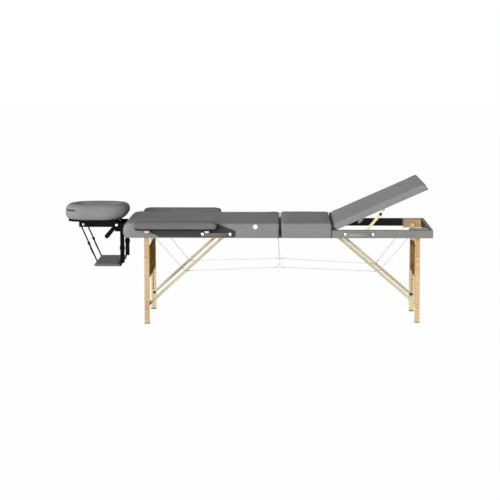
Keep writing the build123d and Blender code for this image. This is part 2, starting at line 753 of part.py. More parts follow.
def face_pad():
    """A ring cushion, full at half height, its lower rear edge cut back and up."""
    outer = []
    inner = []
    for inset, share in pad_profile:
        cut_back = pad_rear_cut * (1 - share) ** 2
        length = pad_rear - pad_front - 2 * inset - cut_back
        middle = (pad_front + pad_rear - cut_back) / 2
        width = 2 * (pad_half_width - inset)
        z = pad_base_z + share * pad_thick
        outer.append(Pos(middle, 0, z) * RectangleRounded(length, width, pad_corner - inset))
        hole = RectangleRounded(pad_hole_length + inset, pad_hole_width + inset, pad_hole_corner)
        inner.append(Pos(pad_hole_x, 0, z) * hole)
    return loft(outer, ruled=True) - loft(inner, ruled=True)


parts["face_cushion"] = [face_pad()]
lever_in = cradle_lug_outer + lever_clear
lever_out = lever_in + lever_thick
lever_tip = (
    cradle_pivot_x + lever_length * cos(radians(lever_angle)),
    cradle_pivot_z + lever_length * sin(radians(lever_angle)),
)
lever = bar((cradle_pivot_x, cradle_pivot_z), lever_tip, lever_width, -lever_out, -lever_in, 0)
lever -= rod_y(cradle_pivot_x, cradle_pivot_z, pivot_bore, -lever_out - 1, -lever_in + 1)
cap_y = -lever_out - fit
lever_bolt = rod_y(cradle_pivot_x, cradle_pivot_z, bolt_dia, cap_y, -cradle_lug_outer)
lever_bolt += rod_y(cradle_pivot_x, cradle_pivot_z, 2 * bolt_dia, cap_y - bolt_head_height, cap_y)
parts["cam_lever"] = [lever]
parts["cradle_pivots"] += [lever_bolt]

# ---- arm shelf and its straps -------------------------------------------------------
shelf_sections = []
for inset, share in shelf_profile:
    shelf_x = (shelf_front + inset, shelf_rear - inset)
    shelf_plan = plan(*shelf_x, shelf_half_width - inset, shelf_corner, shelf_corner)
    shelf_sections.append(Pos(0, 0, shelf_z + share * shelf_thick) * shelf_plan)
parts["arm_shelf"] = [loft(shelf_sections, ruled=True)]
strap_near = (-strap_y - strap_width / 2, -strap_y + strap_width / 2)
loop_x = (bar_x[0] - strap_thick, bar_x[1] + strap_thick)
loop_z = (bar_z[0] - strap_thick, bar_z[1] + strap_thick)
strap_x = (cradle_bar_x - strap_width / 2, cradle_bar_x + strap_width / 2)
strap_side = (-strap_y - strap_thick, -strap_y + strap_thick)
rear_strap = block(*strap_x, *strap_side, shelf_z + shelf_thick + fit, loop_z[0])
loop = block(*loop_x, *strap_near, *loop_z) - block(*bar_x, *strap_near, *bar_z)
parts["straps_rear"] = both_sides([rear_strap + loop])
strap_end_gap = fit + strap_thick / 2
front_top = (strap_front_top_x, platform_z - strap_end_gap)
front_foot = (shelf_front + strap_inset, shelf_z + shelf_thick + strap_end_gap)
front_strap_y = (-strap_y_front - strap_front_width / 2, -strap_y_front + strap_front_width / 2)
front_strap = bar(front_foot, front_top, strap_thick, *front_strap_y, 0)
parts["straps_front"] = both_sides([front_strap])

# ---- write one file per piece -------------------------------------------------------
# The files are centred along X: the middle of the whole length goes to the origin.
to_centre = Pos(-(pad_front + half_right) / 2, 0, 0)
os.makedirs("parts", exist_ok=True)
for name, solids in parts.items():
    export_step(Compound(children=[to_centre * solid for solid in solids]), f"parts/{name}.step")
print(len(parts), "nodes")
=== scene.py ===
import json
from math import cos, pi, radians, sin

import bmesh
import bpy
from mathutils import Matrix, Vector


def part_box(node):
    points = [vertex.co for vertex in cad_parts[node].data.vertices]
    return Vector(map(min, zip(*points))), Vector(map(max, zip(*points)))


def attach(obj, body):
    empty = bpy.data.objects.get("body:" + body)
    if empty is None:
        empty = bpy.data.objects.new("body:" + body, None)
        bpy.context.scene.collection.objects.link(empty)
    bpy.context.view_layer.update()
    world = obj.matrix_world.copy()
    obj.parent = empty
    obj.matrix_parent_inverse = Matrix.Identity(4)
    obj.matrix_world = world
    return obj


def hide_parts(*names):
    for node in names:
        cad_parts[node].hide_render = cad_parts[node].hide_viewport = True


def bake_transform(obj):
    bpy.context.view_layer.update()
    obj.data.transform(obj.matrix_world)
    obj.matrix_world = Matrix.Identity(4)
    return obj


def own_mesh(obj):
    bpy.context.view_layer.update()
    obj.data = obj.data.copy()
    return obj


# A folding wooden treatment table with a lifted backrest, side armrests, a face cradle
# and an arm shelf hung under it. Metres; the frame gives every size that it holds.
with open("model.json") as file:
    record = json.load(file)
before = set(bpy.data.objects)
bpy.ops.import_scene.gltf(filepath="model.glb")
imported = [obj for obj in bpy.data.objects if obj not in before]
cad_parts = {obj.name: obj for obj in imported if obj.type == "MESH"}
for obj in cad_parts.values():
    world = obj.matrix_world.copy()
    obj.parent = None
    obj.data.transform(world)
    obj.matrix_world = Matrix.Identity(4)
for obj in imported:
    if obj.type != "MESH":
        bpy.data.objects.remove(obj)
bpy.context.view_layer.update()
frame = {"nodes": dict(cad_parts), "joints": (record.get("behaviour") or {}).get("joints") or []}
scene = bpy.context.scene
scene.view_settings.view_transform = "Standard"
Y_AXIS = Vector((0, 1, 0))

# ---- places read from the frame ----
left_low, left_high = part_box("cushion_left")
middle_low, middle_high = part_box("cushion_middle")
band_left_low, band_left_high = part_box("side_band_left")
fold_x = (left_high.x + middle_low.x) / 2
near_y = band_left_low.y
far_y = band_left_high.y
frame_low_z = band_left_low.z
board_top_z = band_left_high.z

# ---- camera, light and floor ----
camera_back = 9.627         # from the near side of the table
camera_height = 1.759
camera_aside = -0.024       # from the fold line
camera_dip = radians(7.698)
camera_turn = radians(0.927)
camera_lens = 116.78
camera_data = bpy.data.cameras.new("camera")
camera_data.lens = camera_lens
camera = bpy.data.objects.new("camera", camera_data)
camera.location = (fold_x + camera_aside, near_y - camera_back, camera_height)
camera.rotation_euler = (pi / 2 - camera_dip, 0, camera_turn)
scene.collection.objects.link(camera)
scene.camera = camera


def sun(name, toward, strength, softness):
    """A soft distant lamp that shines from a direction."""
    lamp = bpy.data.lights.new(name, "SUN")
    lamp.energy = strength
    lamp.angle = radians(softness)
    holder = bpy.data.objects.new(name, lamp)
    holder.rotation_euler = Vector(toward).to_track_quat("Z", "Y").to_euler()
    scene.collection.objects.link(holder)


sun("front_lamp", (-0.3, -0.945, 0.07), 3.85, 30)
sun("head_end_lamp", (-0.97, 0.05, 0.2), 1.5, 25)

white = (1, 1, 1, 1)
sky_strength = 0.18


def seen_directly(tree):
    """1 for what the lens, a mirror or a clear surface sees, and 0 for light on a surface."""
    path = tree.nodes.new("ShaderNodeLightPath")
    either = tree.nodes.new("ShaderNodeMath")
    either.operation = "MAXIMUM"
    tree.links.new(path.outputs["Is Camera Ray"], either.inputs[0])
    tree.links.new(path.outputs["Is Glossy Ray"], either.inputs[1])
    last = tree.nodes.new("ShaderNodeMath")
    last.operation = "MAXIMUM"
    tree.links.new(either.outputs[0], last.inputs[0])
    tree.links.new(path.outputs["Is Transmission Ray"], last.inputs[1])
    return last.outputs[0]


world = bpy.data.worlds.new("studio")
scene.world = world
world.use_nodes = True
sky = world.node_tree
sky.nodes.clear()
soft_light = sky.nodes.new("ShaderNodeBackground")
soft_light.inputs["Color"].default_value = white
soft_light.inputs["Strength"].default_value = sky_strength
backdrop = sky.nodes.new("ShaderNodeBackground")
backdrop.inputs["Color"].default_value = white
backdrop.inputs["Strength"].default_value = 1
choose = sky.nodes.new("ShaderNodeMixShader")
sky.links.new(seen_directly(sky), choose.inputs["Fac"])
sky.links.new(soft_light.outputs[0], choose.inputs[1])
sky.links.new(backdrop.outputs[0], choose.inputs[2])
sky_out = sky.nodes.new("ShaderNodeOutputWorld")
sky.links.new(choose.outputs[0], sky_out.inputs["Surface"])

floor_size = 60
floor_white_share = 0.985   # how much of the floor shows as plain white
floor_finish = bpy.data.materials.new("floor_white")
floor_finish.use_nodes = True
tree = floor_finish.node_tree
matt = tree.nodes["Principled BSDF"]
matt.inputs["Base Color"].default_value = (0.9, 0.9, 0.9, 1)
matt.inputs["Roughness"].default_value = 1
matt.inputs["Specular IOR Level"].default_value = 0
glow = tree.nodes.new("ShaderNodeEmission")
glow.inputs["Color"].default_value = white
share = tree.nodes.new("ShaderNodeMath")
share.operation = "MULTIPLY"
share.inputs[1].default_value = floor_white_share
tree.links.new(seen_directly(tree), share.inputs[0])
floor_mix = tree.nodes.new("ShaderNodeMixShader")
tree.links.new(share.outputs[0], floor_mix.inputs["Fac"])
tree.links.new(matt.outputs[0], floor_mix.inputs[1])
tree.links.new(glow.outputs[0], floor_mix.inputs[2])
tree.links.new(floor_mix.outputs[0], tree.nodes["Material Output"].inputs["Surface"])
floor_form = bmesh.new()
bmesh.ops.create_grid(floor_form, x_segments=1, y_segments=1, size=floor_size / 2)
floor_mesh = bpy.data.meshes.new("floor")
floor_form.to_mesh(floor_mesh)
floor_form.free()
floor_mesh.materials.append(floor_finish)
floor = bpy.data.objects.new("floor", floor_mesh)
scene.collection.objects.link(floor)


# ---- finishes ----
class Finish:
    """A Principled material whose patterns read the piece's own coordinates."""

    def __init__(self, name, colour, roughness, **constants):
        self.made = bpy.data.materials.new(name)
        self.made.use_nodes = True
        self.tree = self.made.node_tree
        self.shader = self.tree.nodes["Principled BSDF"]
        self.shader.inputs["Base Color"].default_value = (*colour, 1)
        self.shader.inputs["Roughness"].default_value = roughness
        for socket, value in constants.items():
            self.shader.inputs[socket.replace("_", " ")].default_value = value
        self.place = self.tree.nodes.new("ShaderNodeTexCoord").outputs["Object"]

    def turned(self, angles=(0, 0, 0), scale=(1, 1, 1), at=None):
        """Coordinates turned about the axes and then stretched."""
        mapping = self.tree.nodes.new("ShaderNodeMapping")
        mapping.vector_type = "TEXTURE"
        mapping.inputs["Rotation"].default_value = angles
        mapping.inputs["Scale"].default_value = tuple(1 / share for share in scale)
        self.tree.links.new(at or self.place, mapping.inputs["Vector"])
        return mapping.outputs["Vector"]

    def noise(self, scale, detail=2, at=None, distortion=0):
        node = self.tree.nodes.new("ShaderNodeTexNoise")
        node.inputs["Scale"].default_value = scale
        node.inputs["Detail"].default_value = detail
        node.inputs["Distortion"].default_value = distortion
        self.tree.links.new(at or self.place, node.inputs["Vector"])
        return node.outputs["Fac"]

    def pebbles(self, scale, at=None):
        node = self.tree.nodes.new("ShaderNodeTexVoronoi")
        node.inputs["Scale"].default_value = scale
        self.tree.links.new(at or self.place, node.inputs["Vector"])
        return node.outputs["Distance"]

    def waves(self, scale, axis, at=None, distortion=0, detail=2):
        node = self.tree.nodes.new("ShaderNodeTexWave")
        node.bands_direction = axis
        node.inputs["Scale"].default_value = scale
        node.inputs["Distortion"].default_value = distortion
        node.inputs["Detail"].default_value = detail
        self.tree.links.new(at or self.place, node.inputs["Vector"])
        return node.outputs["Fac"]

    def join(self, first, second, how="MULTIPLY"):
        node = self.tree.nodes.new("ShaderNodeMath")
        node.operation = how
        self.tree.links.new(first, node.inputs[0])
        if isinstance(second, (int, float)):
            node.inputs[1].default_value = second
        else:
            self.tree.links.new(second, node.inputs[1])
        return node.outputs[0]

    def colours(self, by, *stops):
        """Colours the surface by a pattern: each stop is a place from 0 to 1 and a colour."""
        ramp = self.tree.nodes.new("ShaderNodeValToRGB")
        band = ramp.color_ramp
        band.elements[0].position, band.elements[-1].position = stops[0][0], stops[-1][0]
        band.elements[0].color = (*stops[0][1], 1)
        band.elements[-1].color = (*stops[-1][1], 1)
        for position, colour in stops[1:-1]:
            band.elements.new(position).color = (*colour, 1)
        self.tree.links.new(by, ramp.inputs["Fac"])
        return ramp.outputs["Color"]

    def blend(self, by, first, second):
        node = self.tree.nodes.new("ShaderNodeMix")
        node.data_type = "RGBA"
        if isinstance(by, (int, float)):
            node.inputs["Factor"].default_value = by
        else:
            self.tree.links.new(by, node.inputs["Factor"])
        self.tree.links.new(first, node.inputs["A"])
        self.tree.links.new(second, node.inputs["B"])
        return node.outputs["Result"]

    def paint(self, colour):
        self.tree.links.new(colour, self.shader.inputs["Base Color"])
        return self

    def gloss(self, by, least, most):
        """Roughness that follows a pattern between two values."""
        spread = self.tree.nodes.new("ShaderNodeMapRange")
        spread.inputs["To Min"].default_value = least
        spread.inputs["To Max"].default_value = most
        self.tree.links.new(by, spread.inputs["Value"])
        self.tree.links.new(spread.outputs["Result"], self.shader.inputs["Roughness"])
        return self

    def relief(self, height, depth, strength=1.0):
        bump = self.tree.nodes.new("ShaderNodeBump")
        bump.inputs["Distance"].default_value = depth
        bump.inputs["Strength"].default_value = strength
        self.tree.links.new(height, bump.inputs["Height"])
        self.tree.links.new(bump.outputs["Normal"], self.shader.inputs["Normal"])
        return self


def tint(colour, share):
    return tuple(channel * share for channel in colour)


def vinyl(name, colour, roughness=0.55):
    """Upholstery vinyl: a fine pebbled grain, slow changes of shade and a soft sheen."""
    skin = Finish(name, colour, roughness, Specular_IOR_Level=0.03)
    shade = skin.noise(6, 3)
    fine = skin.noise(90, 4)
    slow = skin.colours(shade, (0.3, tint(colour, 0.93)), (0.7, tint(colour, 1.06)))
    quick_shade = skin.colours(fine, (0.3, tint(colour, 0.92)), (0.7, tint(colour, 1.08)))
    skin.paint(skin.blend(0.45, slow, quick_shade))
    grain = skin.join(skin.pebbles(620), skin.noise(1400, 2), "ADD")
    skin.gloss(fine, roughness - 0.05, roughness + 0.08)
    return skin.relief(grain, 0.00025, 0.55).made


def wood(name, dark, middle, light, turn=(0, 0, 0), shine=0.2):
    """Lacquered hardwood, its grain along X before the turn: streaks, rings and flecks."""
    plank = Finish(name, middle, 0.45, Specular_IOR_Level=shine)
    along = plank.turned(turn, (1.6, 22, 22))
    streaks = plank.noise(2.2, 6, along, 0.6)
    rings = plank.waves(1.4, "Y", along, 5, 3)
    flecks = plank.noise(26, 2, plank.turned(turn, (2.5, 60, 60)))
    both = plank.join(plank.join(streaks, 0.65), plank.join(rings, 0.35), "ADD")
    base = plank.colours(both, (0.28, dark), (0.5, middle), (0.74, light))
    fleck_shade = plank.colours(flecks, (0.36, dark), (0.48, light))
    plank.paint(plank.blend(0.16, base, fleck_shade))
    plank.gloss(streaks, 0.36, 0.5)
    return plank.relief(plank.join(streaks, flecks, "ADD"), 0.0003, 0.35).made


def metal(name, colour, roughness, brushed=(1, 1, 1)):
    """Plated metal with a faint brushed wear."""
    plate = Finish(name, colour, roughness, Metallic=1.0)
    wear = plate.noise(40, 4, plate.turned(scale=brushed))
    plate.paint(plate.colours(wear, (0.3, tint(colour, 0.82)), (0.7, colour)))
    plate.gloss(wear, roughness - 0.06, roughness + 0.1)
    return plate.relief(wear, 0.0001, 0.3).made


def moulded(name, colour, roughness, shine=0.25):
    """Moulded plastic with a fine spark-eroded skin."""
    skin = Finish(name, colour, roughness, Specular_IOR_Level=shine)
    specks = skin.noise(900, 2)
    cloud = skin.noise(12, 3)
    skin.paint(skin.colours(cloud, (0.3, tint(colour, 0.85)), (0.7, tint(colour, 1.15))))
    skin.gloss(cloud, roughness - 0.05, roughness + 0.07)
    return skin.relief(specks, 0.00015, 0.4).made


def webbing_finish(name, colour):
    """Woven strap with fine and coarse picks along its length."""
    cloth = Finish(name, colour, 0.85, Specular_IOR_Level=0.05, Sheen_Weight=0.05)
    ribs = cloth.waves(420, "Z")
    picks = cloth.waves(300, "Z")
    weave = cloth.join(ribs, picks, "MULTIPLY")
    cloth.paint(cloth.colours(weave, (0.0, tint(colour, 0.6)), (0.8, tint(colour, 1.6))))
    return cloth.relief(weave, 0.0004, 0.6).made


honey_dark = (0.52, 0.335, 0.155)
honey = (0.67, 0.465, 0.245)
honey_light = (0.76, 0.56, 0.33)
pale_dark = (0.5, 0.43, 0.27)
pale = (0.63, 0.57, 0.4)
pale_light = (0.72, 0.67, 0.5)
upright = (0, pi / 2, 0)
across = (0, 0, pi / 2)
brace_slope = radians(42)

vinyl_grey = vinyl("vinyl_grey", (0.258, 0.258, 0.258))
# painted light: a lighter copy of the grey vinyl for the face pad, whose top catches more light
vinyl_face_painted_light = vinyl("vinyl_face_painted_light", (0.272, 0.272, 0.27))
vinyl_band = vinyl("vinyl_band", (0.255, 0.26, 0.246))
vinyl_pad = vinyl("vinyl_pad", (0.175, 0.175, 0.174))
# dark vinyl, partly painted shade: on the armrest wings it also stands for the armrest's shadow on
# the frame side
vinyl_dark_and_shade = vinyl("vinyl_dark_and_shade", (0.06, 0.06, 0.062))
vinyl_shelf = vinyl("vinyl_shelf", (0.2, 0.2, 0.202))
vinyl_binding = vinyl("vinyl_binding", (0.012, 0.012, 0.012), 0.45)
leg_wood = wood("leg_wood", honey_dark, honey, honey_light, upright)
# painted light: a lighter copy of the leg wood, so the far legs' inner faces read as bright as the
# near legs
leg_wood_far_painted_light = wood(
    "leg_wood_far_painted_light", (0.66, 0.44, 0.22), (0.82, 0.6, 0.34), (0.9, 0.7, 0.43), upright
)
rail_wood = wood("rail_wood", honey_dark, honey, honey_light)
cross_wood = wood("cross_wood", honey_dark, honey, honey_light, across)
brace_wood_left = wood("brace_wood_left", pale_dark, pale, pale_light, (0, -brace_slope, 0))
brace_wood_right = wood("brace_wood_right", pale_dark, pale, pale_light, (0, brace_slope, 0))
# painted shade: the leg plates' dark brown stands for their face turned from the light under the
# table
plate_wood_painted_shade = wood(
    "plate_wood_painted_shade", (0.3, 0.14, 0.045), (0.48, 0.24, 0.085), (0.62, 0.34, 0.13), across, 0
)
# black paint on rails, decks and boards, also painted shade: the centre rails darken the fold gap,
# and the rails' inner faces stand for their shade
black_paint_and_shade = wood(
    "black_paint_and_shade", (0.008, 0.008, 0.008), (0.014, 0.014, 0.014), (0.022, 0.022, 0.022), shine=0.1
)
zinc = metal("zinc", (0.48, 0.48, 0.46), 0.4)
chrome = metal("chrome", (0.78, 0.78, 0.78), 0.16)
yellow_plate = metal("yellow_plate", (0.43, 0.41, 0.22), 0.42, (1, 1, 6))
rope_steel = metal("rope_steel", (0.6, 0.6, 0.58), 0.45)
black_plastic = moulded("black_plastic", (0.004, 0.004, 0.004), 0.5, 0.03)
cream_plastic = moulded("cream_plastic", (0.78, 0.77, 0.72), 0.38)
white_plastic = moulded("white_plastic", (0.85, 0.85, 0.86), 0.3)
rubber_black = moulded("rubber_black", (0.02, 0.019, 0.018), 0.75)
strap_black = webbing_finish("strap_black", (0.006, 0.006, 0.006))
# painted light and shade: lit and shaded copies of one grip vinyl, lighter for the right handle,
# darker for the left
grip_painted_light = vinyl("grip_painted_light", (0.3, 0.295, 0.27), 0.45)
grip_painted_shade = vinyl("grip_painted_shade", (0.17, 0.165, 0.15), 0.42)

node_finish = (
    # black rails and boards, partly painted shade in the fold gap and under the table
    (black_paint_and_shade,
     "rail_left_near rail_left_far centre_rail_left deck_left rail_right_near "
     "rail_right_far end_rail_foot centre_rail_right deck_middle backrest_board "
     "armrest_support_near armrest_support_far"),
    (cross_wood, "end_rail_head hinge_slat"),
    (vinyl_band, "side_band_left side_band_right"),
    (yellow_plate, "hinges_left hinges_right stay_upper stay_lower"),
    (rail_wood, "leg_blocks_left brace_cleats_left leg_blocks_right brace_cleats_right"),
    (zinc, "pivot_bolts_left pivot_bolts_right backrest_fittings cradle_pivots"),
    (rope_steel, "cables_left cables_right"),
    # painted shade on the left grip, painted light on the right one
    (grip_painted_shade, "handle_left"),
    # dark vinyl wings that also paint the armrest's shadow on the frame side
    (vinyl_dark_and_shade, "armrest_wings"),
    (grip_painted_light, "handle_right"),
    (leg_wood,
     "leg_post_left_near leg_post_right_near leg_extension_left_near "
     "leg_extension_right_near"),
    # painted light: the far legs take the lighter copy of the leg wood
    (leg_wood_far_painted_light,
     "leg_post_left_far leg_post_right_far leg_extension_left_far "
     "leg_extension_right_far"),
    # painted shade: dark brown plates for their shaded face
    (plate_wood_painted_shade, "leg_plate_left leg_plate_right"),
    (brace_wood_left, "brace_upper_left brace_lower_left"),
    (brace_wood_right, "brace_upper_right brace_lower_right"),
    (black_plastic, "cradle_base cradle_frame cradle_platform cam_lever"),
    (strap_black, "straps_rear straps_front"),
    (vinyl_shelf, "arm_shelf"),
    (vinyl_grey,
     "face_cushion cushion_left cushion_middle cushion_backrest armrest_pad_near "
     "armrest_pad_far"),
)
for finish, nodes in node_finish:
    for node in nodes.split():
        slots = frame["nodes"][node].data.materials
        slots.clear()
        slots.append(finish)


def fittings(node, finish, largest):
    """Gives the separate solids of a node that are no longer than this another finish."""
    mesh = frame["nodes"][node].data
    mesh.materials.append(finish)
    chosen = len(mesh.materials) - 1
    places = {}
    leader = list(range(len(mesh.vertices)))

    def top(index):
        while leader[index] != index:
            leader[index] = leader[leader[index]]
            index = leader[index]
        return index

    for vert in mesh.vertices:
        key = tuple(round(value * 20000) for value in vert.co)
        leader[top(vert.index)] = top(places.setdefault(key, vert.index))
    for face in mesh.polygons:
        first = top(face.vertices[0])
        for index in face.vertices[1:]:
            leader[top(index)] = first
    spans = {}
    for vert in mesh.vertices:
        low, high = spans.setdefault(top(vert.index), (vert.co.copy(), vert.co.copy()))
        low.xyz = map(min, low, vert.co)
        high.xyz = map(max, high, vert.co)
    small = {key for key, (low, high) in spans.items() if max(high - low) <= largest}
    for face in mesh.polygons:
        if top(face.vertices[0]) in small:
            face.material_index = chosen


for node in ("brace_lower_left", "brace_lower_right", "handle_left", "handle_right"):
    fittings(node, zinc, 0.05)


# ---- shared making steps ----
def linked(name, mesh, finish):
    """An object for a finished mesh, smooth but for its real edges."""
    mesh.shade_smooth()
    mesh.set_sharp_from_angle(angle=radians(38))
    mesh.materials.clear()
    mesh.materials.append(finish)
    made = bpy.data.objects.new(name, mesh)
    scene.collection.objects.link(made)
    return made


def shape(name, form, finish):
    """Turns a bmesh into an object."""
    bmesh.ops.remove_doubles(form, verts=form.verts, dist=0.00002)
    bmesh.ops.recalc_face_normals(form, faces=form.faces)
    mesh = bpy.data.meshes.new(name)
    form.to_mesh(mesh)
    form.free()
    return linked(name, mesh, finish)


def fitted(made, body):
    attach(made, body)
    return made


def baked(made):
    """Swaps a piece's mesh for what its modifiers make of it."""
    bpy.context.view_layer.update()
    graph = bpy.context.evaluated_depsgraph_get()
    mesh = bpy.data.meshes.new_from_object(made.evaluated_get(graph))
    made.modifiers.clear()
    made.data = mesh
    return made


def add_box(form, low, high, edge=0.0, segments=2):
    """A block between two corners, its edges rounded."""
    low, high = Vector(low), Vector(high)
    made = bmesh.ops.create_cube(form, size=1)["verts"]
    bmesh.ops.scale(form, vec=high - low, verts=made)
    bmesh.ops.translate(form, vec=(low + high) / 2, verts=made)
    if edge > 0:
        edges = list({e for v in made for e in v.link_edges})
        bmesh.ops.bevel(
            form, geom=edges, offset=edge, segments=segments, profile=0.5,
            affect="EDGES", material=-1
        )


def add_rod(form, start, end, radius, far_radius=None, segments=24, edge=0.0):
    """A round rod or cone between two points, its rims rounded."""
    start, end = Vector(start), Vector(end)
    along = end - start
    turn = along.to_track_quat("Z", "Y").to_matrix().to_4x4()
    made = bmesh.ops.create_cone(
        form,
        cap_ends=True,
        segments=segments,
        radius1=radius,
        radius2=radius if far_radius is None else far_radius,
        depth=along.length,
        matrix=Matrix.Translation((start + end) / 2) @ turn,
    )["verts"]
    if edge > 0:
        rims = [e for e in {e for v in made for e in v.link_edges}
                if any(len(f.verts) > 4 for f in e.link_faces)]
        bmesh.ops.bevel(
            form, geom=rims, offset=edge, segments=3, profile=0.5, affect="EDGES", material=-1
        )


def add_dome(form, centre, outward, radius, height, segments=20):
    """A domed bolt head that stands on a face."""
    turn = Vector(outward).to_track_quat("Z", "Y").to_matrix().to_4x4()
    made = bmesh.ops.create_uvsphere(form, u_segments=segments, v_segments=10, radius=1)["verts"]
    below = [v for v in made if v.co.z < -0.01]
    bmesh.ops.delete(form, geom=below, context="VERTS")
    dome = [v for v in made if v.is_valid]
    rim = [e for e in {e for v in dome for e in v.link_edges} if e.is_boundary]
    bmesh.ops.contextual_create(form, geom=rim)
    size = Matrix.Diagonal((radius, radius, height, 1))
    bmesh.ops.transform(form, matrix=Matrix.Translation(centre) @ turn @ size, verts=dome)


def add_strip(form, points, across, thick):
    """A flat strap along a run of points, with its width given as a vector."""
    across = Vector(across)
    first = Vector(points[0])
    a = form.verts.new(first - across / 2)
    b = form.verts.new(first + across / 2)
    edge = form.edges.new((a, b))
    faces = []
    last = first
    for point in points[1:]:
        grown = bmesh.ops.extrude_edge_only(form, edges=[edge])["geom"]
        verts = [g for g in grown if isinstance(g, bmesh.types.BMVert)]
        edge = next(g for g in grown if isinstance(g, bmesh.types.BMEdge))
        faces += [g for g in grown if isinstance(g, bmesh.types.BMFace)]
        bmesh.ops.translate(form, vec=Vector(point) - last, verts=verts)
        last = Vector(point)
    bmesh.ops.recalc_face_normals(form, faces=faces)
    bmesh.ops.solidify(form, geom=faces, thickness=thick)


def tube(name, points, radius, finish, rounds=6, order=3):
    """A round tube along a smooth line through the neighbourhood of its points."""
    line = bpy.data.curves.new(name, "CURVE")
    line.dimensions = "3D"
    line.bevel_depth = radius
    line.bevel_resolution = rounds
    line.use_fill_caps = True
    spline = line.splines.new("NURBS")
    spline.points.add(len(points) - 1)
    for knot, point in zip(spline.points, points):
        knot.co = (*point, 1)
    spline.order_u = order
    spline.use_endpoint_u = True
    spline.resolution_u = 8
    holder = bpy.data.objects.new(name, line)
    scene.collection.objects.link(holder)
    bpy.context.view_layer.update()
    graph = bpy.context.evaluated_depsgraph_get()
    mesh = bpy.data.meshes.new_from_object(holder.evaluated_get(graph))
    bpy.data.objects.remove(holder)
    return linked(name, mesh, finish)


# ---- upholstery ----
def stuffed_block(name, low, high, head_corner, corner, top_edge, foot_edge):
    """A block with rounded upright corners, rounder at its head end, and soft edges."""
    form = bmesh.new()
    add_box(form, low, high)
    middle = (low + high) / 2
    height = high.z - low.z
    for at_head, radius in ((True, head_corner), (False, corner)):
        standing = [
            e for e in form.edges
            if abs(e.verts[0].co.z - e.verts[1].co.z) > height / 2
            and (e.verts[0].co.x < middle.x) == at_head
            and len(e.link_faces) == 2
            and all(len(f.verts) == 4 for f in e.link_faces)
            and min(e.verts[0].co.x - low.x, high.x - e.verts[0].co.x) < 0.0001
            and min(e.verts[0].co.y - low.y, high.y - e.verts[0].co.y) < 0.0001
        ]
        if radius > 0:
            bmesh.ops.bevel(
                form, geom=standing, offset=radius, segments=8, profile=0.5,
                affect="EDGES", material=-1,
            )
    for level, radius in ((high.z, top_edge), (low.z, foot_edge)):
        rim = [
            e for e in form.edges
            if all(abs(v.co.z - level) < 0.0001 for v in e.verts)
            and any(abs(f.normal.z) < 0.5 for f in e.link_faces)
        ]
        if radius > 0:
            bmesh.ops.bevel(
                form, geom=rim, offset=radius, segments=4, profile=0.5,
                affect="EDGES", material=-1,
            )
    return shape(name, form, vinyl_grey)


filling = []


def to_fill(made, voxel, cap, held=None):
    """Gives a closed form an even skin and lists it for filling; held(point) is pinned."""
    skin = made.modifiers.new("skin", "REMESH")
    skin.mode = "VOXEL"
    skin.voxel_size = voxel
    baked(made)
    filling.append((made, cap, held))
    return made


def fill_all():
    """Blows up every listed pad with Cloth, and holds each point within its cap."""
    starts = []
    for made, cap, held in filling:
        starts.append([v.co.copy() for v in made.data.vertices])
        cloth = made.modifiers.new("filling", "CLOTH")
        setup = cloth.settings
        setup.quality = 4
        setup.mass = 0.3
        setup.tension_stiffness = 12
        setup.compression_stiffness = 12
        setup.bending_stiffness = 0.4
        setup.use_pressure = True
        setup.uniform_pressure_force = 4
        setup.effector_weights.gravity = 0
        cloth.collision_settings.use_collision = False
        cloth.point_cache.frame_start = 1
        cloth.point_cache.frame_end = 20
        if held is not None:
            pins = made.vertex_groups.new(name="held")
            pins.add([v.index for v in made.data.vertices if held(v.co)], 1.0, "REPLACE")
            setup.vertex_group_mass = pins.name
    for moment in range(1, 21):
        scene.frame_set(moment)
    for (made, cap, held), start in zip(filling, starts):
        baked(made)
        for vert, rest in zip(made.data.vertices, start):
            move = vert.co - rest
            if move.length > cap:
                vert.co = rest + move.normalized() * cap
    scene.frame_set(1)


def evened(made, rounds, strength=0.5):
    """Softens the small steps that an even skin leaves."""
    form = bmesh.new()
    form.from_mesh(made.data)
    for _ in range(rounds):
        bmesh.ops.smooth_vert(
            form, verts=form.verts, factor=strength,
            use_axis_x=True, use_axis_y=True, use_axis_z=True
        )
    form.to_mesh(made.data)
    form.free()
    return made


def opened(made, dropped, level=None):
    """Cuts a cover at a level and takes off the faces that lie against the frame."""
    form = bmesh.new()
    form.from_mesh(made.data)
    if level is not None:
        bmesh.ops.bisect_plane(
            form, geom=form.verts[:] + form.edges[:] + form.faces[:], dist=0.00001,
            plane_co=(0, 0, level), plane_no=(0, 0, 1), clear_inner=True,
        )
    doomed = [f for f in form.faces if dropped(f.calc_center_median(), f.normal)]
    bmesh.ops.delete(form, geom=doomed, context="FACES")
    form.to_mesh(made.data)
    form.free()
    return made


def covered(made, body, *nodes, finish=None):
    """Finishes a filled pad and lets it stand for its plain solids."""
    made.data.shade_smooth()
    made.data.materials.clear()
    made.data.materials.append(finish or vinyl_grey)
    fitted(made, body)
    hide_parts(*nodes)
    return made


# ---- the two padded halves ----
cover_proud = 0.0006        # how far a cover stands outside the frame's band
cover_thick = 0.0018
cover_spare = 0.02          # cut away again under the frame
crown = 0.004               # how much filling raises a pad
head_corner = 0.058
head_over = 0.032           # roundness of the head end's upper edge
head_under = 0.022          # and of its lower edge
fold_corner = 0.006


